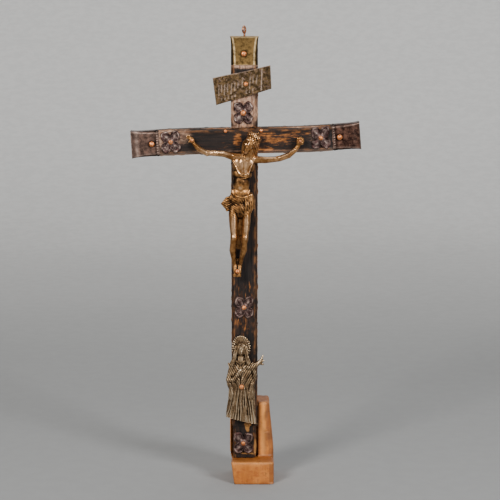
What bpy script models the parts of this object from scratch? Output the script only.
"""Mission cross: a small wooden cross with metal mounts and two cast figures, standing in a wooden holder.

Metres, +Z up. The front of the cross faces -Y, and the origin is the centre of the holder's underside.
"""

import math

import bmesh
import bpy
import numpy as np
from mathutils import Matrix, Vector

MM = 0.001
GAP = 0.3 * MM  # free space between two pieces that meet

# Holder: one hand-cut block, with an upright back that houses the post in a channel and a ledge under it.
HOLDER_WIDTH = 25.6 * MM
LEDGE_HEIGHT = 14.9 * MM
LEDGE_REACH = 14.0 * MM  # ledge in front of the back
BACK_HEIGHT = 51.2 * MM
BACK_DEPTH = 22.0 * MM
HOLDER_WAIST = 18.9 * MM  # height where the block's sides change direction
LEFT_SPREAD = 2.8 * MM  # the left side leans out by this much up to there, and is upright above
RIGHT_TAPER = 3.0 * MM  # the right side is upright up to there, and leans in by this much above
HOLDER_ROUND = 1.5 * MM
SOLE_ROUND_SHARE = 0.4  # the edges of the underside are rounded by this share of that
POST_PROUD = 4.0 * MM  # the post stands out of its channel by this much

# Cross: two staves in a cross lap, both with chamfered front edges.
POST_TOP_WIDTH = 16.9 * MM
POST_FOOT_WIDTH = 16.2 * MM
POST_THICKNESS = 9.0 * MM
POST_LENGTH = 272.9 * MM
POST_OFFSET = -6.1 * MM  # the post stands left of the holder's middle
BEAM_HEIGHT = 16.2 * MM
BEAM_LENGTH = 145.6 * MM
BEAM_SHIFT = 0.8 * MM
BEAM_DROP = 65.8 * MM  # from the top of the post to the middle of the beam
BEAM_TILT = math.radians(1.0)  # the beam rises to the right
STRAIGHT_HALF = 25.0 * MM  # the beam is straight up to here on both sides of its middle
LEFT_DROOP = math.radians(2.5)  # the warped left arm ends this much steeper than the middle
RIGHT_RISE = math.radians(3.6)  # the warped right arm ends this much steeper than the middle
BEND_STATIONS = 4
CHAMFER = 1.5 * MM
LAP_DEPTH = 4.5 * MM  # thickness of the beam where it crosses the post
FOOT_REBATE_LENGTH = 21.3 * MM  # bare end of the post, where a cap is lost

# Caps: sheet sleeves let in flush over the ends of the staves, flared at their closed end.
SHEET = 0.5 * MM
CAP_LENGTH = 17.8 * MM
CAP_FLARE = 0.45 * MM
CAP_FLARE_SHARE = 0.4  # share of the cap's length that flares
CAP_LIP_CHAMFER = 0.4 * MM
CAP_STATIONS = 7

# Four-petalled flowers of stamped sheet.
FLOWER_WIDTH = 12.8 * MM
FLOWER_HEIGHT = 14.6 * MM
FLOWER_THICKNESS = 0.5 * MM
FLOWER_RELIEF = 0.55 * MM
FLOWER_TOP_DROP = 48.0 * MM  # from the top of the post
FLOWER_FOOT_MARGIN = 2.7 * MM  # bare post under the lowest flower
FLOWER_STEPS = 28
PETAL_OUT = 0.715  # middle and radius of each petal's circle, as shares of the flower's half width
PETAL_RADIUS = 0.515

# Round-headed copper nails.
NAIL_HEAD_RADIUS = 1.65 * MM
NAIL_HEAD_HEIGHT = 1.0 * MM
NAIL_SHANK_RADIUS = 0.6 * MM
NAIL_BITE = 5.0 * MM  # depth of the shank in the wood
NAIL_SIDES = 8
NAIL_PLAY = GAP

# Title board over the figure's head, cut by hand with no side quite true.
TITLE_WIDTH = 35.7 * MM
TITLE_LEFT_HEIGHT = 17.1 * MM
TITLE_RIGHT_HEIGHT = 14.8 * MM
TITLE_RISE = 9.2 * MM  # the middle of the right end is this much higher than that of the left one
TITLE_LEFT_LEAN = 2.2 * MM  # the foot of each end lies this much to the right of its head
TITLE_RIGHT_LEAN = 0.7 * MM
TITLE_WAVE = 0.2 * MM
TITLE_THICKNESS = 1.1 * MM
TITLE_DROP = 30.1 * MM  # from the top of the post
TITLE_SHIFT = -1.1 * MM
TITLE_ROUND = 0.3 * MM
TITLE_STEPS = 8

# Wire eye screwed into the top of the post.
EYE_RADIUS = 2.1 * MM
EYE_WIRE = 0.65 * MM
EYE_NECK = 2.0 * MM
EYE_BITE = 6.0 * MM
EYE_TURN = math.radians(68)

# Cast figures.
FIGURE_SHIFT = -0.4 * MM  # both are nailed on a little left of the post's middle
CORPUS_HEIGHT = 94.0 * MM
CORPUS_DROP = 87.1 * MM  # from the middle of the beam to the toes
MARY_HEIGHT = 57.9 * MM
GAP_SHARE_UNDER_CORPUS = 0.427  # the bare post under the beam is shared out between what is nailed on it
GAP_SHARE_UNDER_MARY = 0.185
FIGURE_GRAIN = 0.42  # in figure units
FIGURE_MELT = 2
CORPUS_TRIANGLES = 2550
MARY_TRIANGLES = 2000

# Places that follow from the sizes above.
HOLDER_DEPTH = LEDGE_REACH + BACK_DEPTH
BACK_FRONT_Y = HOLDER_DEPTH / 2 - BACK_DEPTH
FRONT_Y = BACK_FRONT_Y - POST_PROUD  # front face of the post and the beam
POST_FOOT_Z = LEDGE_HEIGHT + GAP
POST_TOP_Z = POST_FOOT_Z + POST_LENGTH
BEAM_Z = POST_TOP_Z - BEAM_DROP
SHOULDER = BEAM_LENGTH / 2 - CAP_LENGTH  # where the caps begin, from the middle of the beam
CAP_INSET = SHEET + GAP
FOOT_REBATE_Z = POST_FOOT_Z + FOOT_REBATE_LENGTH
CORPUS_Z = BEAM_Z - CORPUS_DROP
BARE_POST = CORPUS_Z - POST_FOOT_Z - 2 * FLOWER_HEIGHT - MARY_HEIGHT - FLOWER_FOOT_MARGIN
FLOWER_FOOT_Z = POST_FOOT_Z + FLOWER_FOOT_MARGIN + FLOWER_HEIGHT / 2
FLOWER_MIDDLE_Z = CORPUS_Z - GAP_SHARE_UNDER_CORPUS * BARE_POST - FLOWER_HEIGHT / 2
MARY_Z = FLOWER_FOOT_Z + FLOWER_HEIGHT / 2 + GAP_SHARE_UNDER_MARY * BARE_POST  # lowest point of the hem
BEAM_FRAME = Matrix.Translation((POST_OFFSET + BEAM_SHIFT, 0, BEAM_Z)) @ Matrix.Rotation(-BEAM_TILT, 4, "Y")

for scene_object in list(bpy.data.objects):
    bpy.data.objects.remove(scene_object)
PARTS = bpy.data.collections.new("mission_cross")
CUTTERS = bpy.data.collections.new("cutters")
bpy.context.scene.collection.children.link(PARTS)
bpy.context.scene.collection.children.link(CUTTERS)


def finish(name, colour, roughness, metallic):
    """One plain material."""
    made = bpy.data.materials.new(name)
    made.use_nodes = True
    shader = made.node_tree.nodes["Principled BSDF"]
    shader.inputs["Base Color"].default_value = (*colour, 1)
    shader.inputs["Roughness"].default_value = roughness
    shader.inputs["Metallic"].default_value = metallic
    return made


BLACKENED_WOOD = finish("blackened_wood", (0.045, 0.028, 0.020), 0.55, 0)
HOLDER_WOOD = finish("holder_wood", (0.45, 0.21, 0.08), 0.6, 0)
BRASS = finish("brass", (0.42, 0.30, 0.13), 0.4, 1)
DARK_SHEET = finish("dark_sheet", (0.13, 0.08, 0.07), 0.4, 1)
TITLE_BRASS = finish("title_brass", (0.22, 0.16, 0.07), 0.5, 1)
BRONZE = finish("bronze", (0.42, 0.24, 0.11), 0.35, 1)
PALE_BRONZE = finish("pale_bronze", (0.30, 0.24, 0.15), 0.45, 1)
COPPER = finish("copper", (0.72, 0.30, 0.15), 0.35, 1)


def add_object(name, mesh, material):
    """Puts a mesh in the cross's collection under its own name."""
    made = bpy.data.objects.new(name, mesh)
    PARTS.objects.link(made)
    mesh.materials.clear()
    mesh.materials.append(material)
    return made


def mesh_from(name, shape):
    """Turns a bmesh into a mesh with its faces pointing out."""
    bmesh.ops.recalc_face_normals(shape, faces=shape.faces)
    mesh = bpy.data.meshes.new(name)
    shape.to_mesh(mesh)
    shape.free()
    return mesh


def evaluated_mesh(source):
    """The object's mesh with its modifiers in it, as a mesh of its own."""
    bpy.context.view_layer.update()
    graph = bpy.context.evaluated_depsgraph_get()
    return bpy.data.meshes.new_from_object(source.evaluated_get(graph), depsgraph=graph)


def smooth(mesh, angle=35):
    """Shades round faces smooth and leaves real edges sharp."""
    mesh.shade_smooth()
    mesh.set_sharp_from_angle(angle=math.radians(angle))


def loft(name, rings, first_cap=True, last_cap=True, joined=False):
    """Skins rings of equally many points. With joined, the last ring runs back into the first."""
    shape = bmesh.new()
    rows = [[shape.verts.new(point) for point in ring] for ring in rings]
    pairs = list(zip(rows, rows[1:]))
    if joined:
        pairs.append((rows[-1], rows[0]))
    for low, high in pairs:
        for i in range(len(low)):
            j = (i + 1) % len(low)
            shape.faces.new((low[i], low[j], high[j], high[i]))
    if first_cap and not joined:
        shape.faces.new(rows[0])
    if last_cap and not joined:
        shape.faces.new(rows[-1])
    return mesh_from(name, shape)


def cut(target, cutters):
    """Takes each cutter out of the target, one exact Boolean apiece."""
    for cutter in cutters:
        cutter.hide_render = True
        cutter.display_type = "WIRE"
        taken = target.modifiers.new(cutter.name, "BOOLEAN")
        taken.operation = "DIFFERENCE"
        taken.object = cutter


def cutter_box(name, size, place):
    """A box of that size, centred on the origin of place."""
    shape = bmesh.new()
    bmesh.ops.create_cube(shape, size=1, matrix=Matrix.Diagonal((*size, 1)))
    made = bpy.data.objects.new(name, mesh_from(name, shape))
    CUTTERS.objects.link(made)
    made.matrix_world = place
    return made


def cutter_drill(name, radius, depth, place, lead=8 * MM):
    """A drill that runs along +Y of place, from lead in front of its origin to depth behind it."""
    shape = bmesh.new()
    turn = Matrix.Rotation(-math.pi / 2, 4, "X")
    middle = Matrix.Translation((0, (depth - lead) / 2, 0))
    bmesh.ops.create_cone(
        shape, cap_ends=True, segments=NAIL_SIDES, radius1=radius, radius2=radius,
        depth=depth + lead, matrix=middle @ turn,
    )
    made = bpy.data.objects.new(name, mesh_from(name, shape))
    CUTTERS.objects.link(made)
    made.matrix_world = place
    return made


def stave_section(width, thickness, chamfer, inset):
    """The section of a stave as (across, depth) points: depth 0 is the front face, and its two edges are chamfered."""
    side = width / 2 - inset
    front = inset
    back = thickness - inset
    corner = max(chamfer - 0.4 * inset, 0.1 * MM)
    return (
        (-side, back), (side, back), (side, front + corner),
        (side - corner, front), (-side + corner, front), (-side, front + corner),
    )


def upright(section, z):
    """A section laid level at a height on the post."""
    return [(POST_OFFSET + across, FRONT_Y + depth, z) for across, depth in section]


def post_width(z):
    """The post's width at a height."""
    return POST_FOOT_WIDTH + (POST_TOP_WIDTH - POST_FOOT_WIDTH) * (z - POST_FOOT_Z) / POST_LENGTH


def beam_bend(along):
    """How far the warped beam has strayed from straight at a distance from its middle, and at what slope."""
    turn = RIGHT_RISE if along > 0 else LEFT_DROOP
    span = SHOULDER - STRAIGHT_HALF
    over = max(abs(along) - STRAIGHT_HALF, 0)
    if over < span:
        stray, slope = turn * over ** 2 / (2 * span), turn * over / span
    else:
        stray, slope = turn * (over - span / 2), turn
    return math.copysign(stray, along), slope


def across_beam(section, along):
    """A section square to the warped beam at a distance from its middle."""
    stray, slope = beam_bend(along)
    return [
        (along - across * math.sin(slope), FRONT_Y + depth, stray + across * math.cos(slope))
        for across, depth in section
    ]


def sideways(section, x):
    """A section across a straight sleeve, at a distance along it."""
    return [(x, FRONT_Y + depth, across) for across, depth in section]


# Nails. Each place is (x, z) on the front of the cross, and proud is the thickness that the nail passes through.
def on_beam(along, across):
    """A point of the beam's front face, as (x, z): along from the beam's middle, across from its middle line."""
    stray, slope = beam_bend(along)
    point = BEAM_FRAME @ Vector((along - across * math.sin(slope), 0, stray + across * math.cos(slope)))
    return point.x, point.z


FLOWER_TOP_AT = (POST_OFFSET - 0.8 * MM, POST_TOP_Z - FLOWER_TOP_DROP)
FLOWER_MIDDLE_AT = (POST_OFFSET - 0.3 * MM, FLOWER_MIDDLE_Z)
FLOWER_FOOT_AT = (POST_OFFSET - 0.9 * MM, FLOWER_FOOT_Z)
FLOWER_OUT = SHOULDER - FLOWER_WIDTH / 2 - 1.0 * MM
FLOWER_LEFT_AT = on_beam(-FLOWER_OUT, 0.5 * MM)
FLOWER_RIGHT_AT = on_beam(FLOWER_OUT, 0.6 * MM)
CAP_NAIL_OUT = SHOULDER + 0.26 * CAP_LENGTH
CAP_LEFT_NAIL_AT = on_beam(-CAP_NAIL_OUT, -0.2 * MM)
CAP_RIGHT_NAIL_AT = on_beam(CAP_NAIL_OUT, 0)
CAP_TOP_NAIL_AT = (POST_OFFSET - 0.3 * MM, POST_TOP_Z - 0.61 * CAP_LENGTH)
TITLE_AT = (POST_OFFSET + TITLE_SHIFT, POST_TOP_Z - TITLE_DROP)
TITLE_NAIL_AT = (TITLE_AT[0] + 2.0 * MM, TITLE_AT[1] + 0.4 * MM)
JOINT_NAIL_OUT = POST_TOP_WIDTH / 2 + 3.4 * MM
JOINT_NAIL_RISE = BEAM_HEIGHT / 2 - 1.8 * MM
JOINT_LEFT_AT = on_beam(-JOINT_NAIL_OUT - BEAM_SHIFT, JOINT_NAIL_RISE)
JOINT_RIGHT_AT = on_beam(JOINT_NAIL_OUT - 2 * MM, JOINT_NAIL_RISE)


def make_nail(name, at, proud, scale=1.0):
    """A nail driven square into the front, its head on what stands proud by that much."""
    head = NAIL_HEAD_RADIUS * scale
    rise = NAIL_HEAD_HEIGHT * scale
    profile = (
        (0, rise), (head * 0.55, rise * 0.84), (head * 0.9, rise * 0.42), (head, 0),
        (NAIL_SHANK_RADIUS, 0), (NAIL_SHANK_RADIUS, -(proud + NAIL_BITE - 1 * MM)), (0, -(proud + NAIL_BITE)),
    )
    outline = bpy.data.meshes.new(name)
    points = [(radius, 0, height) for radius, height in profile]
    outline.from_pydata(points, [(i, i + 1) for i in range(len(points) - 1)], [])
    nail = add_object(name, outline, COPPER)
    turned = nail.modifiers.new("turned", "SCREW")
    turned.steps = NAIL_SIDES
    turned.render_steps = NAIL_SIDES
    turned.use_merge_vertices = True
    turned.merge_threshold = 0.00002
    nail.matrix_world = (
        Matrix.Translation((at[0], FRONT_Y - proud - GAP, at[1])) @ Matrix.Rotation(math.pi / 2, 4, "X")
    )
    return nail


def nail_hole(name, at):
    """The drill for a nail's shank, down to a little past its point."""
    place = Matrix.Translation((at[0], FRONT_Y, at[1]))
    return cutter_drill(name, NAIL_SHANK_RADIUS + NAIL_PLAY, NAIL_BITE + NAIL_PLAY, place)


# Holder
def make_holder():
    """The stepped block with its sides pulled out of true, and the channel that houses the post."""
    front = -HOLDER_DEPTH / 2
    back = HOLDER_DEPTH / 2
    outline = (
        (front, 0), (back, 0), (back, BACK_HEIGHT),
        (BACK_FRONT_Y, BACK_HEIGHT), (BACK_FRONT_Y, LEDGE_HEIGHT), (front, LEDGE_HEIGHT),
    )
    sides = [[(x, y, z) for y, z in outline] for x in (-HOLDER_WIDTH / 2, HOLDER_WIDTH / 2)]
    shape = bmesh.new()
    shape.from_mesh(loft("holder_blank", sides))
    bmesh.ops.bisect_plane(
        shape, geom=[*shape.verts, *shape.edges, *shape.faces],
        plane_co=(0, 0, HOLDER_WAIST), plane_no=(0, 0, 1), dist=1e-6,
    )
    rounding = shape.edges.layers.float.new("bevel_weight_edge")
    for edge in shape.edges:
        if edge.calc_face_angle(0) > math.radians(30):
            on_sole = max(corner.co.z for corner in edge.verts) < 1e-6
            edge[rounding] = SOLE_ROUND_SHARE if on_sole else 1
    for corner in shape.verts:
        if corner.co.x < 0:
            corner.co.x -= LEFT_SPREAD * min(corner.co.z / HOLDER_WAIST, 1)
        else:
            corner.co.x -= RIGHT_TAPER * max(corner.co.z - HOLDER_WAIST, 0) / (BACK_HEIGHT - HOLDER_WAIST)
    block = add_object("holder_block", mesh_from("holder_block", shape), HOLDER_WOOD)
    rounded = block.modifiers.new("rounded", "BEVEL")
    rounded.width = HOLDER_ROUND
    rounded.segments = 2
    rounded.limit_method = "WEIGHT"
    channel_depth = POST_THICKNESS - POST_PROUD + GAP
    channel_size = (post_width(BACK_HEIGHT) + 2 * GAP, 2 * channel_depth, 2 * BACK_HEIGHT)
    place = Matrix.Translation((POST_OFFSET, BACK_FRONT_Y, LEDGE_HEIGHT + BACK_HEIGHT))
    cut(block, [cutter_box("channel", channel_size, place)])
    return block


# Staves
def make_post(holes):
    """The upright stave, its two ends let in for caps, notched in front for the beam."""
    cap_z = POST_TOP_Z - CAP_LENGTH - GAP

    def ring(z, inset):
        return upright(stave_section(post_width(z), POST_THICKNESS, CHAMFER, inset), z)

    rings = [
        ring(POST_FOOT_Z, CAP_INSET), ring(FOOT_REBATE_Z, CAP_INSET), ring(FOOT_REBATE_Z, 0),
        ring(cap_z, 0), ring(cap_z, CAP_INSET), ring(POST_TOP_Z - CAP_INSET, CAP_INSET),
    ]
    post = add_object("post", loft("post", rings), BLACKENED_WOOD)
    notch_depth = LAP_DEPTH + GAP
    notch_size = (2 * POST_TOP_WIDTH, 2 * notch_depth, BEAM_HEIGHT + 2 * GAP)
    notch = cutter_box("post_notch", notch_size, BEAM_FRAME @ Matrix.Translation((0, FRONT_Y, 0)))
    cut(post, [notch, eye_drill("eye_bore", EYE_BITE + GAP), *holes])
    return post


def make_beam(holes):
    """The level stave, both ends let in for caps, notched behind for the post."""
    full = stave_section(BEAM_HEIGHT, POST_THICKNESS, CHAMFER, 0)
    let_in = stave_section(BEAM_HEIGHT, POST_THICKNESS, CHAMFER, CAP_INSET)
    end = BEAM_LENGTH / 2 - CAP_INSET
    bare = SHOULDER - GAP
    bends = [STRAIGHT_HALF + (bare - STRAIGHT_HALF) * i / BEND_STATIONS for i in range(BEND_STATIONS + 1)]
    rings = [across_beam(let_in, -end), across_beam(let_in, -bare)]
    rings += [across_beam(full, -along) for along in reversed(bends)]
    rings += [across_beam(full, along) for along in bends]
    rings += [across_beam(let_in, bare), across_beam(let_in, end)]
    beam = add_object("crossbeam", loft("crossbeam", rings), BLACKENED_WOOD)
    beam.matrix_world = BEAM_FRAME
    notch_depth = POST_THICKNESS - LAP_DEPTH
    notch_size = (post_width(BEAM_Z) + 2 * GAP, 2 * notch_depth, 2 * BEAM_HEIGHT)
    place = Matrix.Translation((POST_OFFSET, FRONT_Y + POST_THICKNESS, BEAM_Z))
    cut(beam, [cutter_box("beam_notch", notch_size, place), *holes])
    return beam


def make_cap(name, width, lay, outward, frame, holes, material):
    """A sheet sleeve: open at its inner end, closed and flared at the outer one, its chamfers dying out."""
    rings = []
    for i in range(CAP_STATIONS):
        share = i / (CAP_STATIONS - 1)
        flare = CAP_FLARE * max(0, (share - 1 + CAP_FLARE_SHARE) / CAP_FLARE_SHARE) ** 2
        chamfer = CHAMFER + (CAP_LIP_CHAMFER - CHAMFER) * share ** 2
        section = stave_section(width, POST_THICKNESS, chamfer, -flare)
        rings.append(lay(section, outward * share * CAP_LENGTH))
    cap = add_object(name, loft(name, rings, first_cap=False), material)
    cap.matrix_world = frame
    walls = cap.modifiers.new("walls", "SOLIDIFY")
    walls.thickness = SHEET
    walls.offset = -1
    cut(cap, holes)
    return cap


def make_flower(name, at, turn):
    """A stamped flower: four petals on the diagonals, each dished inside a raised rim, around the nail."""
    hole = NAIL_SHANK_RADIUS + NAIL_PLAY

    def ring(share, height):
        points = []
        for i in range(FLOWER_STEPS):
            angle = 2 * math.pi * (i + 0.5) / FLOWER_STEPS
            off = angle % (math.pi / 2) - math.pi / 4
            reach = PETAL_OUT * math.cos(off) + math.sqrt(PETAL_RADIUS ** 2 - (PETAL_OUT * math.sin(off)) ** 2)
            reach /= 2
            edge = Vector((FLOWER_WIDTH * reach * math.cos(angle), FLOWER_HEIGHT * reach * math.sin(angle)))
            inner = Vector((hole * math.cos(angle), hole * math.sin(angle)))
            x, z = inner.lerp(edge, share)
            points.append((x, -height, z))
        return points

    rim = FLOWER_THICKNESS + FLOWER_RELIEF
    rings = [
        ring(0, 0), ring(1, 0), ring(0.92, rim), ring(0.68, FLOWER_THICKNESS), ring(0.34, rim), ring(0, rim),
    ]
    mesh = loft(name, rings, joined=True)
    smooth(mesh)
    flower = add_object(name, mesh, DARK_SHEET)
    flower.matrix_world = Matrix.Translation((at[0], FRONT_Y - GAP, at[1])) @ Matrix.Rotation(turn, 4, "Y")
    return flower


FLOWER_PROUD = GAP + FLOWER_THICKNESS + FLOWER_RELIEF


def make_title(hole):
    """The title board: two long edges that waver, two ends that lean."""
    head, foot = [], []
    for i in range(TITLE_STEPS + 1):
        share = i / TITLE_STEPS
        height = TITLE_LEFT_HEIGHT + (TITLE_RIGHT_HEIGHT - TITLE_LEFT_HEIGHT) * share
        middle = TITLE_RISE * (share - 0.5)
        lean = TITLE_LEFT_LEAN + (TITLE_RIGHT_LEAN - TITLE_LEFT_LEAN) * share
        x = TITLE_WIDTH * (share - 0.5)
        wave = TITLE_WAVE * math.sin(2.3 * math.pi * share + 0.6)
        head.append((x - lean / 2, middle + height / 2 + wave))
        foot.append((x + lean / 2, middle - height / 2 + 0.7 * wave))
    outline = foot + head[::-1]
    rings = [[(x, y, z) for x, z in outline] for y in (0, -TITLE_THICKNESS)]
    title = add_object("title_board", loft("title_board", rings), TITLE_BRASS)
    title.matrix_world = Matrix.Translation((TITLE_AT[0], FRONT_Y - GAP, TITLE_AT[1]))
    rounded = title.modifiers.new("rounded", "BEVEL")
    rounded.width = TITLE_ROUND
    rounded.segments = 2
    rounded.limit_method = "ANGLE"
    cut(title, [hole])
    return title


EYE_AT = Matrix.Translation((POST_OFFSET, FRONT_Y + POST_THICKNESS / 2, POST_TOP_Z))


def eye_drill(name, depth):
    """A drill down into the top of the post, with free space around the eye's shank."""
    return cutter_drill(name, EYE_WIRE + GAP, depth, EYE_AT @ Matrix.Rotation(-math.pi / 2, 4, "X"))


def make_eye():
    """The wire eye: a ring on a shank, turned nearly edge-on to the front."""
    place = EYE_AT @ Matrix.Rotation(EYE_TURN, 4, "Z")
    ring_z = EYE_NECK + EYE_RADIUS
    bpy.ops.mesh.primitive_torus_add(
        major_radius=EYE_RADIUS, minor_radius=EYE_WIRE, major_segments=20, minor_segments=8,
    )
    ring = bpy.context.object
    bpy.context.collection.objects.unlink(ring)
    CUTTERS.objects.link(ring)
    ring.name = "eye_ring"
    ring.matrix_world = place @ Matrix.Translation((0, 0, ring_z)) @ Matrix.Rotation(math.pi / 2, 4, "X")
    ring.hide_render = True
    ring.display_type = "WIRE"
    shape = bmesh.new()
    shank_length = EYE_BITE + EYE_NECK
    bmesh.ops.create_cone(
        shape, cap_ends=True, segments=10, radius1=EYE_WIRE, radius2=EYE_WIRE, depth=shank_length,
        matrix=Matrix.Translation((0, 0, EYE_NECK - shank_length / 2)),
    )
    eye = add_object("hanging_eye", mesh_from("hanging_eye", shape), COPPER)
    eye.matrix_world = place
    joined = eye.modifiers.new("ring", "BOOLEAN")
    joined.operation = "UNION"
    joined.object = ring
    return eye


# Cast figures: overlapping balls and limbs, melted together like the wax they were modelled in.
# A figure's point is (x, proud, z): right of its middle line, out from the face of the cross, and up.
def round_template(columns, rows):
    """A unit ball as an array of points and a list of faces."""
    points = [(0, 0, 1)]
    for row in range(1, rows):
        polar = math.pi * row / rows
        for i in range(columns):
            angle = 2 * math.pi * i / columns
            points.append((math.sin(polar) * math.cos(angle), math.sin(polar) * math.sin(angle), math.cos(polar)))
    points.append((0, 0, -1))
    last = len(points) - 1
    faces = []
    for i in range(columns):
        j = (i + 1) % columns
        faces.append((0, 1 + i, 1 + j))
        for row in range(rows - 2):
            low = 1 + row * columns
            faces.append((low + i, low + columns + i, low + columns + j, low + j))
        foot = 1 + (rows - 2) * columns
        faces.append((last, foot + j, foot + i))
    return np.array(points), faces


def sleeve_template(columns):
    """A closed prism of unit length and radius: its lower ring, then its upper one."""
    angles = 2 * math.pi * np.arange(columns) / columns
    ring = np.stack([np.cos(angles), np.sin(angles), 0 * angles], axis=1)
    faces = [(i, (i + 1) % columns, (i + 1) % columns + columns, i + columns) for i in range(columns)]
    faces.append(tuple(reversed(range(columns))))
    faces.append(tuple(range(columns, 2 * columns)))
    return ring, faces


BALL = round_template(20, 14)
KNUCKLE = round_template(14, 10)
SLEEVE = sleeve_template(14)


class Figure:
    """A heap of closed skins, waiting to be melted together."""

    def __init__(self):
        self.points = []
        self.faces = []

    def add(self, points, faces):
        """Adds one closed skin."""
        start = len(self.points)
        self.points.extend(map(tuple, points))
        self.faces.extend(tuple(start + corner for corner in face) for face in faces)


def add_ball(figure, centre, radii, lean=0.0, nod=0.0):
    """An ellipsoid, leaned to the right and nodded forward by those degrees."""
    x, proud, z = centre
    turn = Matrix.Rotation(math.radians(lean), 3, "Y") @ Matrix.Rotation(math.radians(nod), 3, "X")
    figure.add((BALL[0] * np.array(radii)) @ np.array(turn).T + np.array((x, -proud, z)), BALL[1])


def add_limb(figure, stations, flat=1.0):
    """A chain of tapering rounds through (x, proud, z, radius) stations. Flat squeezes its depth."""
    squeeze = np.array((1, flat, 1))
    places = [(Vector((x, -proud / flat, z)), radius) for x, proud, z, radius in stations]
    for point, radius in places:
        figure.add((KNUCKLE[0] * radius + np.array(point)) * squeeze, KNUCKLE[1])
    for (start, first), (end, last) in zip(places, places[1:]):
        turn = np.array((end - start).to_track_quat("Z", "Y").to_matrix())
        ring = SLEEVE[0] @ turn.T
        rings = np.concatenate([ring * first + np.array(start), ring * last + np.array(end)])
        figure.add(rings * squeeze, SLEEVE[1])


def cast(figure, name, unit, place, triangles, material, trims):
    """Melts the figure into one skin, thins it to about that many triangles, and trims it flat."""
    skins = bpy.data.meshes.new(name + "_skins")
    skins.from_pydata(figure.points, [], figure.faces)
    wax = bpy.data.objects.new(name + "_wax", skins)
    CUTTERS.objects.link(wax)
    melted = wax.modifiers.new("melted", "REMESH")
    melted.mode = "VOXEL"
    melted.voxel_size = FIGURE_GRAIN
    softened = wax.modifiers.new("softened", "SMOOTH")
    softened.factor = 0.5
    softened.iterations = FIGURE_MELT
    shape = bmesh.new()
    shape.from_mesh(evaluated_mesh(wax))
    bpy.data.objects.remove(wax)
    bmesh.ops.triangulate(shape, faces=shape.faces)
    skin = mesh_from(name, shape)
    thin = bpy.data.objects.new(name + "_thin", skin)
    CUTTERS.objects.link(thin)
    thinned = thin.modifiers.new("thinned", "DECIMATE")
    thinned.ratio = min(1.0, triangles / len(skin.polygons))
    shape = bmesh.new()
    shape.from_mesh(evaluated_mesh(thin))
    bpy.data.objects.remove(thin)
    for point, outward in trims:
        cut_loop = bmesh.ops.bisect_plane(
            shape, geom=[*shape.verts, *shape.edges, *shape.faces],
            plane_co=point, plane_no=outward, clear_outer=True, dist=1e-4,
        )["geom_cut"]
        bmesh.ops.holes_fill(shape, edges=[edge for edge in cut_loop if isinstance(edge, bmesh.types.BMEdge)])
    bmesh.ops.triangulate(shape, faces=shape.faces)
    bmesh.ops.transform(shape, matrix=Matrix.Scale(unit, 4), verts=shape.verts)
    mesh = mesh_from(name, shape)
    smooth(mesh, 50)
    made = add_object(name, mesh, material)
    made.matrix_world = place
    return made


def add_torso(figure):
    """Trunk from the shoulders to the hips: stretched chest, arch of the ribs, hollow belly."""
    add_ball(figure, (-0.2, 4.6, 71.6), (7.1, 3.8, 6.2))
    add_ball(figure, (-1.1, 4.4, 66.4), (6.3, 3.6, 5.0))
    add_ball(figure, (-1.8, 4.0, 60.0), (5.5, 3.4, 6.2))
    add_ball(figure, (-2.0, 4.4, 54.0), (6.2, 3.8, 5.2))
    add_ball(figure, (-2.1, 6.2, 58.0), (3.1, 1.9, 4.2))
    for side in (-1, 1):
        add_ball(figure, (side * 3.5 - 0.2, 7.0, 73.0), (3.5, 1.7, 2.7), lean=side * 16)
        add_limb(figure, (
            (side * 4.7 - 1.5, 5.7, 64.4, 1.0), (side * 2.9 - 1.3, 6.9, 66.4, 1.0), (-0.9, 7.5, 70.4, 0.9),
        ))
    add_limb(figure, ((-6.8, 4.8, 77.4, 2.4), (-3.0, 5.0, 77.2, 2.4), (2.6, 5.0, 76.6, 2.4), (6.8, 4.8, 75.7, 2.4)))


def add_arms(figure):
    """The left arm of the view bends up at the elbow to an open hand, the right one to a closed hand."""
    add_limb(figure, (
        (-6.8, 4.8, 77.5, 2.45), (-12.0, 4.4, 79.2, 2.1), (-18.3, 3.9, 79.6, 1.85), (-22.0, 3.6, 79.6, 1.7),
        (-24.6, 3.5, 80.2, 1.8), (-28.4, 3.3, 82.2, 1.75), (-31.4, 3.0, 85.4, 1.25),
    ))
    add_ball(figure, (-33.0, 2.6, 87.8), (1.75, 1.2, 2.3), lean=-38)
    for i in range(4):
        spread = math.radians(112 + 17 * i)
        reach = 3.3 - 0.35 * abs(i - 1.4)
        tip = (-33.6 + reach * math.cos(spread), 3.1, 88.4 + reach * math.sin(spread), 0.5)
        add_limb(figure, ((-33.4, 2.4, 88.4, 0.75), tip))
    add_limb(figure, ((-32.6, 2.6, 87.2, 0.8), (-34.8, 3.2, 86.7, 0.6)))
    add_limb(figure, (
        (6.8, 4.8, 75.7, 2.45), (13.4, 4.6, 75.4, 2.15), (19.7, 4.2, 75.8, 1.85), (22.9, 4.0, 76.3, 1.9),
        (28.4, 3.8, 78.2, 1.85), (32.4, 3.4, 81.4, 1.5), (34.6, 3.0, 84.4, 1.3),
    ))
    add_ball(figure, (35.7, 2.8, 87.4), (2.5, 1.8, 2.6))
    for i in range(4):
        add_limb(figure, ((33.8, 4.0, 89.3 - 1.2 * i, 0.68), (37.4, 4.2, 88.9 - 1.2 * i, 0.68)))
    add_limb(figure, ((33.9, 3.8, 85.4, 0.75), (35.8, 4.9, 86.6, 0.65)))


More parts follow.
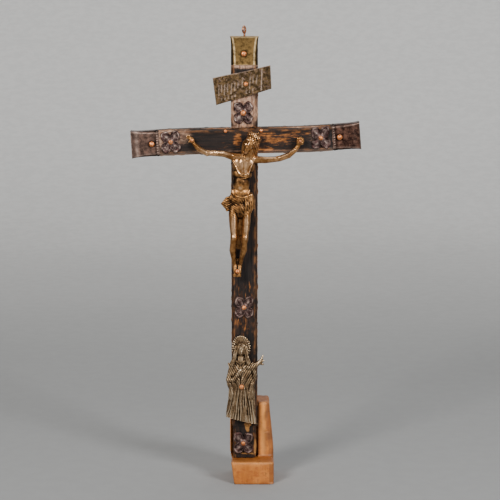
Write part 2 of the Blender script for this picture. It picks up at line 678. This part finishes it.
def add_head(figure):
    """The bowed and turned head: hair to the shoulders, short beard, plaited crown, a face left almost plain."""
    lean = 29
    add_limb(figure, ((2.4, 5.2, 76.6, 2.7), (4.4, 6.6, 82.0, 2.6)))
    add_ball(figure, (5.2, 7.2, 88.0), (3.9, 4.3, 5.3), lean=lean)
    add_ball(figure, (6.2, 6.0, 87.2), (4.3, 3.9, 5.7), lean=24)
    add_ball(figure, (3.5, 9.1, 85.6), (2.7, 2.7, 4.2), lean=lean)
    add_ball(figure, (1.5, 9.5, 81.8), (1.7, 1.9, 2.4), lean=lean)
    add_limb(figure, ((3.5, 11.5, 87.5, 0.55), (2.8, 12.1, 85.8, 0.7)))
    for side in (-1, 1):
        add_ball(figure, (4.3 + side * 1.4, 10.7, 87.9 - side * 0.75), (1.4, 0.8, 0.6), lean=lean)
        add_ball(figure, (3.0 + side * 1.4, 10.5, 85.0 - side * 0.75), (1.1, 0.9, 1.3), lean=lean)
    add_limb(figure, ((9.2, 6.4, 87.0, 1.5), (9.0, 5.9, 82.2, 1.5), (7.4, 5.4, 78.6, 1.2)))
    add_limb(figure, ((6.6, 6.0, 83.0, 2.3), (5.6, 5.8, 79.2, 2.0)))
    add_limb(figure, ((1.8, 7.4, 88.6, 1.3), (0.2, 6.8, 84.4, 1.3), (-0.8, 6.2, 80.6, 1.0)))
    crown_centre = np.array((6.7, -7.0, 90.4))
    crown_turn = np.array(Matrix.Rotation(math.radians(lean), 3, "Y") @ Matrix.Rotation(math.radians(-10), 3, "X"))
    for strand in range(2):
        stations = []
        for i in range(25):
            angle = 2 * math.pi * i / 24
            weave = 6 * angle + math.pi * strand
            width = 4.2 + 0.4 * math.cos(weave)
            ring = np.array((width * math.cos(angle), width * math.sin(angle), 0.55 * math.sin(weave)))
            point = crown_centre + crown_turn @ ring
            stations.append((point[0], -point[1], point[2], 0.5))
        add_limb(figure, stations)


def add_loincloth(figure):
    """A cloth slung round the hips in swags, its end blown out to the left, a corner hanging at the right."""
    add_ball(figure, (-2.0, 4.8, 50.0), (6.9, 4.0, 4.6))
    add_ball(figure, (-2.2, 5.0, 44.6), (6.7, 3.7, 4.6))
    add_ball(figure, (-1.4, 5.4, 42.6), (5.4, 3.0, 4.4))
    for i in range(5):
        start = 53.6 - 1.3 * i
        end = 53.8 - 2.5 * i
        low = -3.6 + 0.9 * i
        add_limb(figure, (
            (-8.2, 5.0, start, 0.9), (low - 3.0, 7.7, start - 0.9 - 0.8 * i, 1.0),
            (low, 8.7, min(start, end) - 1.6 - 0.55 * i, 1.0), (low + 3.4, 7.7 - 0.3 * i, end - 1.2, 0.95),
            (5.2, 4.9, end, 0.9),
        ))
    for i in range(5):
        root = 51.4 - 1.7 * i
        add_limb(figure, (
            (-7.6, 5.4, root, 1.1), (-10.8, 4.8, root - 0.4 - 0.25 * i, 0.9),
            (-14.2 + 0.75 * i, 4.3, 47.4 - 0.9 * i, 0.5),
        ))
    add_limb(figure, ((4.6, 5.2, 52.8, 1.6), (6.0, 5.0, 48.4, 1.2), (6.3, 4.8, 44.6, 0.7)))
    add_limb(figure, ((3.8, 6.0, 50.6, 1.3), (4.6, 5.8, 45.6, 1.1), (4.4, 5.6, 42.2, 0.7)))


def add_legs(figure):
    """Legs bent forward at the knee, a web of metal between the thighs, feet one beside the other."""
    add_limb(figure, (
        (-6.0, 5.0, 45.0, 3.0), (-6.8, 5.5, 40.9, 2.95), (-6.6, 6.4, 34.0, 2.65), (-6.3, 7.2, 28.0, 2.2),
        (-6.3, 7.6, 25.2, 2.35), (-6.8, 6.9, 22.0, 2.0), (-7.1, 6.0, 17.9, 2.15), (-6.6, 5.0, 12.5, 1.5),
        (-6.1, 4.3, 9.0, 1.3),
    ))
    add_limb(figure, ((-5.8, 3.8, 8.2, 1.6), (-5.4, 4.9, 4.6, 1.55), (-5.2, 5.6, 1.5, 1.15)))
    add_limb(figure, (
        (1.8, 5.0, 45.0, 2.9), (1.7, 5.5, 40.9, 2.85), (1.5, 6.4, 34.0, 2.55), (0.8, 7.2, 28.0, 2.2),
        (0.6, 7.6, 25.2, 2.3), (0.2, 6.9, 22.0, 2.0), (-0.1, 6.0, 17.9, 2.1), (-1.5, 5.0, 12.5, 1.5),
        (-2.2, 4.3, 9.0, 1.3),
    ))
    add_limb(figure, ((-2.6, 3.8, 8.2, 1.55), (-2.9, 5.1, 4.6, 1.45), (-3.1, 5.9, 1.5, 1.1)))
    add_ball(figure, (-3.0, 4.0, 35.0), (3.4, 1.2, 9.0))


CORPUS_UNIT = CORPUS_HEIGHT / 94.0  # the figure above is 94 of its own units tall
CORPUS_PLACE = Matrix.Translation((POST_OFFSET + FIGURE_SHIFT, FRONT_Y, CORPUS_Z))
BACK_TRIM = (Vector((0, -GAP / MM, 0)), Vector((0, 1, 0)))  # keeps the free space to the cross


def corpus_point(x, z):
    """A point of the corpus's own coordinates, as (x, z) on the cross."""
    return POST_OFFSET + FIGURE_SHIFT + x * CORPUS_UNIT, CORPUS_Z + z * CORPUS_UNIT


FEET_NAIL_AT = corpus_point(-4.1, 4.3)
FEET_NAIL_PROUD = 7.0 * CORPUS_UNIT
LEFT_HAND_NAIL_AT = corpus_point(-32.9, 87.8)
LEFT_HAND_NAIL_PROUD = 4.0 * CORPUS_UNIT
RIGHT_HAND_NAIL_AT = corpus_point(35.6, 87.4)
RIGHT_HAND_NAIL_PROUD = 5.6 * CORPUS_UNIT


def make_corpus(holes):
    """The cast figure on the cross."""
    figure = Figure()
    add_torso(figure)
    add_head(figure)
    add_arms(figure)
    add_loincloth(figure)
    add_legs(figure)
    corpus = cast(figure, "corpus", CORPUS_UNIT, CORPUS_PLACE, CORPUS_TRIANGLES, BRONZE, [BACK_TRIM])
    cut(corpus, holes)
    return corpus


MARY_UNIT = MARY_HEIGHT / 57.9  # the figure below is 57.9 of its own units tall
MARY_PLACE = Matrix.Translation((POST_OFFSET + FIGURE_SHIFT, FRONT_Y, MARY_Z))
HEM_LEFT = (-11.7, 5.4)
HEM_RIGHT = (6.9, 0.8)
MARY_NAIL_AT = (POST_OFFSET + FIGURE_SHIFT - 1.5 * MARY_UNIT, MARY_Z + 25.8 * MARY_UNIT)
MARY_NAIL_PROUD = 6.0 * MARY_UNIT
HALO_RAYS = 24


def add_halo_and_head(figure):
    """A disc with a scalloped edge and rays, a head bent forward under a veil that falls to the shoulders."""
    middle = Vector((-1.8, 50.9))
    add_ball(figure, (middle.x, 1.2, middle.y), (5.7, 0.8, 7.6))
    for i in range(HALO_RAYS):
        angle = math.radians(-40 + 260 * i / (HALO_RAYS - 1))
        out = Vector((math.cos(angle), math.sin(angle)))
        inner = middle + Vector((3.0 * out.x, 4.4 * out.y))
        outer = middle + Vector((5.8 * out.x, 7.6 * out.y))
        add_limb(figure, ((inner.x, 1.9, inner.y, 0.45), (outer.x, 1.5, outer.y, 0.6)))
    add_ball(figure, (-2.0, 3.4, 50.0), (3.7, 2.4, 4.6))
    add_ball(figure, (-1.6, 4.4, 49.3), (2.3, 2.5, 3.1), nod=12)
    add_limb(figure, ((-1.5, 6.7, 49.9, 0.35), (-1.45, 7.0, 48.8, 0.45)))
    add_limb(figure, ((-1.9, 2.4, 46.5, 1.9), (-2.2, 2.4, 42.5, 2.6)))
    add_limb(figure, ((-5.4, 3.6, 43.0, 1.0), (-2.2, 4.4, 41.4, 1.0), (1.2, 3.6, 43.0, 1.0)))
    for side in (-1, 1):
        add_limb(figure, (
            (-1.8 + side * 3.2, 3.6, 51.6, 1.0), (-1.9 + side * 3.7, 3.9, 47.0, 1.15),
            (-2.2 + side * 5.2, 3.8, 42.4, 1.4), (-2.2 + side * 6.4, 3.4, 39.4, 1.6),
        ))


def add_gown(figure):
    """Mantle and skirt: a flat mass with folds that fan out to a slanting hem."""
    add_limb(figure, (
        (-2.2, 2.0, 43.0, 4.2), (-2.2, 2.2, 39.6, 6.6), (-2.3, 2.2, 34.0, 8.3), (-2.2, 2.2, 29.0, 9.2),
        (-1.4, 2.2, 24.0, 8.3), (-1.5, 2.2, 17.0, 8.7), (-2.0, 2.2, 9.0, 9.5), (-2.4, 2.2, 0.0, 9.7),
        (-2.6, 2.2, -6.0, 9.9),
    ), flat=0.27)
    folds = 8
    for i in range(folds):
        share = i / (folds - 1)
        top = -7.2 + 10.6 * share
        foot = -11.0 + 17.6 * share
        proud = 3.4 + 1.3 * math.sin(math.pi * share)
        sway = 0.7 * math.sin(2.6 * i)
        add_limb(figure, (
            (top, proud + 0.2, 25.5 - 2.0 * (i % 2), 0.7), (0.55 * top + 0.45 * foot + sway, proud + 0.5, 15.0, 0.9),
            (foot, proud + 0.2, 4.0, 1.15), (1.04 * foot, proud, -4.0, 1.2),
        ))
    for side in (-1, 1):
        for i in range(3):
            add_limb(figure, (
                (-2.2 + side * (7.0 - 1.9 * i), 3.9, 40.0 - 0.6 * i, 0.75),
                (-2.2 + side * (4.8 - 1.3 * i), 4.8, 33.5 - 1.4 * i, 0.8),
                (-2.2 + side * (1.8 - 0.5 * i), 4.9, 29.6 - 1.6 * i, 0.7),
            ))


def add_mary_arms(figure):
    """One hand laid on the breast, the other held out to the right from a wide sleeve."""
    add_limb(figure, (
        (-7.8, 3.2, 38.0, 1.8), (-9.9, 3.2, 29.8, 1.75), (-6.6, 4.4, 30.4, 1.5), (-3.8, 5.2, 34.2, 1.15),
        (-2.6, 5.5, 36.2, 0.8),
    ))
    add_limb(figure, ((-10.2, 2.8, 30.0, 1.4), (-9.6, 2.6, 25.4, 1.0)))
    add_limb(figure, (
        (3.2, 3.4, 38.2, 2.1), (6.6, 3.7, 38.6, 1.8), (9.4, 3.7, 41.0, 1.35), (11.0, 3.5, 42.8, 0.95),
        (12.2, 3.3, 45.9, 0.6),
    ))
    add_limb(figure, ((6.2, 3.6, 37.6, 1.6), (7.0, 3.2, 33.4, 1.3), (6.6, 2.8, 29.4, 1.0)))
    add_limb(figure, ((10.2, 3.5, 42.0, 0.9), (12.6, 3.3, 42.6, 0.6)))
    add_limb(figure, ((10.0, 3.5, 41.4, 0.8), (12.4, 3.3, 39.9, 0.6)))


def make_mary(hole):
    """The relief of the standing woman."""
    figure = Figure()
    add_halo_and_head(figure)
    add_gown(figure)
    add_mary_arms(figure)
    run = Vector((HEM_RIGHT[0] - HEM_LEFT[0], 0, HEM_RIGHT[1] - HEM_LEFT[1]))
    below = Vector((run.z, 0, -run.x)).normalized()
    hem = (Vector((HEM_LEFT[0], 0, HEM_LEFT[1])), below)
    trims = [BACK_TRIM, hem]
    mary = cast(figure, "standing_woman", MARY_UNIT, MARY_PLACE, MARY_TRIANGLES, PALE_BRONZE, trims)
    cut(mary, [hole])
    return mary


# The whole: drills first, because each nail's hole goes through what it holds and into the wood.
FLUSH = 0.0
NAILS = {
    "nail_cap_top": (CAP_TOP_NAIL_AT, FLUSH, 1.1),
    "nail_title": (TITLE_NAIL_AT, GAP + TITLE_THICKNESS, 0.9),
    "nail_flower_top": (FLOWER_TOP_AT, FLOWER_PROUD, 1.1),
    "nail_flower_middle": (FLOWER_MIDDLE_AT, FLOWER_PROUD, 0.9),
    "nail_flower_foot": (FLOWER_FOOT_AT, FLOWER_PROUD, 0.9),
    "nail_flower_left": (FLOWER_LEFT_AT, FLOWER_PROUD, 0.9),
    "nail_flower_right": (FLOWER_RIGHT_AT, FLOWER_PROUD, 0.9),
    "nail_cap_left": (CAP_LEFT_NAIL_AT, FLUSH, 1.1),
    "nail_cap_right": (CAP_RIGHT_NAIL_AT, FLUSH, 1.1),
    "nail_joint_left": (JOINT_LEFT_AT, FLUSH, 0.7),
    "nail_joint_right": (JOINT_RIGHT_AT, FLUSH, 0.7),
    "nail_hand_left": (LEFT_HAND_NAIL_AT, LEFT_HAND_NAIL_PROUD, 0.65),
    "nail_hand_right": (RIGHT_HAND_NAIL_AT, RIGHT_HAND_NAIL_PROUD, 0.8),
    "nail_feet": (FEET_NAIL_AT, FEET_NAIL_PROUD, 0.95),
    "nail_standing_woman": (MARY_NAIL_AT, MARY_NAIL_PROUD, 1.0),
}
ON_BEAM = (
    "nail_flower_left", "nail_flower_right", "nail_cap_left", "nail_cap_right",
    "nail_joint_left", "nail_joint_right", "nail_hand_left", "nail_hand_right",
)
drills = {name: nail_hole("hole_of_" + name, at) for name, (at, _, _) in NAILS.items()}

make_holder()
make_post([drill for name, drill in drills.items() if name not in ON_BEAM])
make_beam([drills[name] for name in ON_BEAM])
top_frame = Matrix.Translation((0, 0, POST_TOP_Z - CAP_LENGTH))
cap_top_holes = [drills["nail_cap_top"], eye_drill("eye_hole", EYE_BITE)]
make_cap("cap_top", POST_TOP_WIDTH, upright, 1, top_frame, cap_top_holes, BRASS)
for side_name, outward in (("left", -1), ("right", 1)):
    stray, slope = beam_bend(outward * SHOULDER)
    arm_frame = (
        BEAM_FRAME @ Matrix.Translation((outward * SHOULDER, 0, stray)) @ Matrix.Rotation(-slope, 4, "Y")
    )
    arm_holes = [drills["nail_cap_" + side_name]]
    make_cap("cap_" + side_name, BEAM_HEIGHT, sideways, outward, arm_frame, arm_holes, DARK_SHEET)
make_flower("flower_top", FLOWER_TOP_AT, 0)
make_flower("flower_middle", FLOWER_MIDDLE_AT, 0)
make_flower("flower_foot", FLOWER_FOOT_AT, 0)
make_flower("flower_left", FLOWER_LEFT_AT, -BEAM_TILT - LEFT_DROOP)
make_flower("flower_right", FLOWER_RIGHT_AT, -BEAM_TILT - RIGHT_RISE)
make_title(drills["nail_title"])
make_eye()
make_corpus([drills["nail_hand_left"], drills["nail_hand_right"], drills["nail_feet"]])
make_mary(drills["nail_standing_woman"])
for nail_name, (nail_at, nail_proud, nail_scale) in NAILS.items():
    make_nail(nail_name, nail_at, nail_proud, nail_scale)
